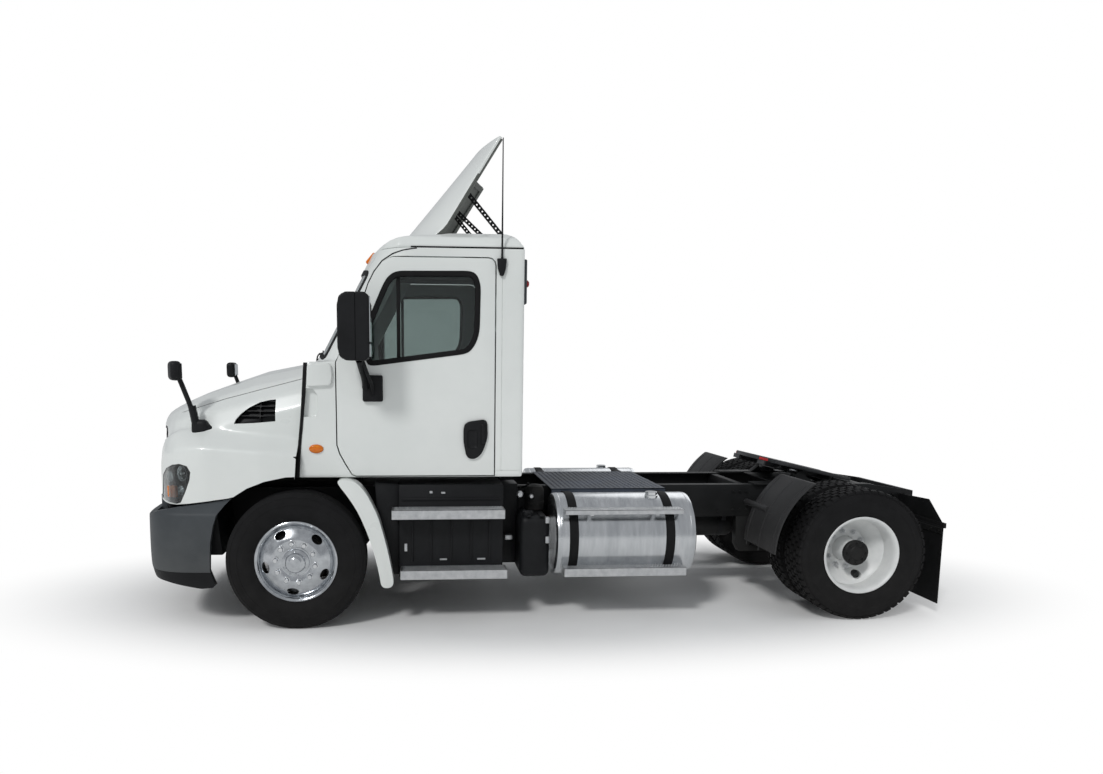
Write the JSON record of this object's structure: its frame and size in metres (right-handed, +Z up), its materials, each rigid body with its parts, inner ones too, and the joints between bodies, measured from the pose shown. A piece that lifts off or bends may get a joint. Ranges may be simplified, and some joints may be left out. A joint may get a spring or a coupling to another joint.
{
  "type": "semi truck tractor unit",
  "caption": "Day-cab road tractor with tilting hood, opening doors, steered front wheels, twin rear wheels, roof fairing, fuel tanks and a tilting fifth wheel.",
  "frame": {"origin": "On the ground, on the centreline, half way between the front of the bumper and the rear end of the frame", "axes": "+X forward along the truck, +Y to the truck's left, +Z up"},
  "size_m": [6.3, 2.84, 3.575],
  "materials": {
    "chassis": "black chassis paint, satin",
    "bumper": "dark grey moulded plastic",
    "radiator": "dark core",
    "engine": "painted casting",
    "driveline": "dark paint",
    "axle": "black paint, satin",
    "tyre": "black rubber",
    "polished_rim": "polished",
    "white_rim": "white gloss paint",
    "white_paint": "white gloss paint",
    "grille": "black plastic",
    "headlight": "clear lens",
    "mirror_housing": "black grained plastic",
    "glass": "lightly tinted",
    "interior": "dark grey",
    "steering_wheel": "soft black",
    "seat_fabric": "dark grey cloth",
    "antenna": "black",
    "step_aluminium": "bare grip tread",
    "box_black": "black paint",
    "tank_aluminium": "polished tread-pattern shell",
    "deck": "dark blue-grey paint",
    "fifth_wheel": "black paint, worn",
    "wing_plastic": "dark grey moulded plastic"
  },
  "bodies": {
    "chassis": {"frame_rail_left": "chassis", "frame_rail_right": "chassis", "frame_crossmembers": "chassis", "front_bumper": "bumper", "radiator": "radiator", "engine_and_gearbox": "engine", "driveshaft": "driveline", "front_axle_beam": "axle", "front_springs": "axle", "rear_axle_housing": "axle", "rear_suspension": "chassis", "cab_shell": "white_paint", "cab_roof": "white_paint", "cab_glass": "glass", "dashboard": "interior", "seats": "seat_fabric", "roof_fairing": "white_paint", "antenna": "antenna", "wing_flares": "white_paint", "cab_steps": "step_aluminium", "side_boxes": "box_black", "fuel_tanks": "tank_aluminium", "deck_plate": "deck", "fifth_wheel_base": "chassis", "rear_wings": "wing_plastic"},
    "knuckle_left": {"knuckle_left": "axle"},
    "knuckle_right": {"knuckle_right": "axle"},
    "tie_rod": {"tie_rod": "axle"},
    "front_wheel_left": {"front_tyre_left": "tyre", "front_rim_left": "polished_rim"},
    "front_wheel_right": {"front_tyre_right": "tyre", "front_rim_right": "polished_rim"},
    "rear_wheels_left": {"rear_tyres_left": "tyre", "rear_rims_left": "white_rim"},
    "rear_wheels_right": {"rear_tyres_right": "tyre", "rear_rims_right": "white_rim"},
    "hood": {"hood": "white_paint", "grilles": "grille", "headlights": "headlight", "hood_mirrors": "mirror_housing"},
    "door_left": {"door_left": "white_paint", "door_glass_left": "glass", "door_mirror_left": "mirror_housing"},
    "door_right": {"door_right": "white_paint", "door_glass_right": "glass", "door_mirror_right": "mirror_housing"},
    "steering_wheel": {"steering_wheel": "steering_wheel"},
    "fifth_wheel": {"fifth_wheel": "fifth_wheel"}
  },
  "joints": [
    {"name": "steer_left", "type": "hinge", "parent": "chassis", "child": "knuckle_left", "pos_m": [1.94, 0.9, 0.506], "axis": [0, 0, 1], "range_deg": [-40, 40]},
    {"name": "steer_right", "type": "hinge", "parent": "chassis", "child": "knuckle_right", "pos_m": [1.94, -0.9, 0.506], "axis": [0, 0, 1], "range_deg": [-40, 40]},
    {"name": "tie_rod_eye", "type": "hinge", "parent": "knuckle_left", "child": "tie_rod", "pos_m": [1.77, 0.9, 0.356], "axis": [0, 0, 1], "range_deg": [-40, 40]},
    {"name": "steering_column", "type": "hinge", "parent": "chassis", "child": "steering_wheel", "pos_m": [1.21282, 0.45, 1.76353], "axis": [-0.5299, 0, 0.848], "range_deg": [-720, 720]},
    {"name": "front_wheel_left_spin", "type": "hinge", "parent": "knuckle_left", "child": "front_wheel_left", "pos_m": [1.94, 1.0525, 0.506], "axis": [0, 1, 0], "continuous": true},
    {"name": "front_wheel_right_spin", "type": "hinge", "parent": "knuckle_right", "child": "front_wheel_right", "pos_m": [1.94, -1.0525, 0.506], "axis": [0, 1, 0], "continuous": true},
    {"name": "rear_wheels_left_spin", "type": "hinge", "parent": "chassis", "child": "rear_wheels_left", "pos_m": [-2.31, 0.8995, 0.506], "axis": [0, 1, 0], "continuous": true},
    {"name": "rear_wheels_right_spin", "type": "hinge", "parent": "chassis", "child": "rear_wheels_right", "pos_m": [-2.31, -0.8995, 0.506], "axis": [0, 1, 0], "continuous": true},
    {"name": "hood_tilt", "type": "hinge", "parent": "chassis", "child": "hood", "pos_m": [3.115, 0, 0.935], "axis": [0, 1, 0], "range_deg": [0, 60]},
    {"name": "door_left_hinge", "type": "hinge", "parent": "chassis", "child": "door_left", "pos_m": [1.617, 1.04, 1.9], "axis": [0, 0, -1], "range_deg": [0, 70]},
    {"name": "door_right_hinge", "type": "hinge", "parent": "chassis", "child": "door_right", "pos_m": [1.617, -1.04, 1.9], "axis": [0, 0, 1], "range_deg": [0, 70]},
    {"name": "fifth_wheel_tilt", "type": "hinge", "parent": "chassis", "child": "fifth_wheel", "pos_m": [-2.16, 0, 1.015], "axis": [0, 1, 0], "range_deg": [0, 24]}
  ],
  "couplings": [
    {"joint": "steer_right", "follows": "steer_left", "ratio": 1},
    {"joint": "tie_rod_eye", "follows": "steer_left", "ratio": -1},
    {"joint": "steering_column", "follows": "steer_left", "ratio": 18}
  ]
}
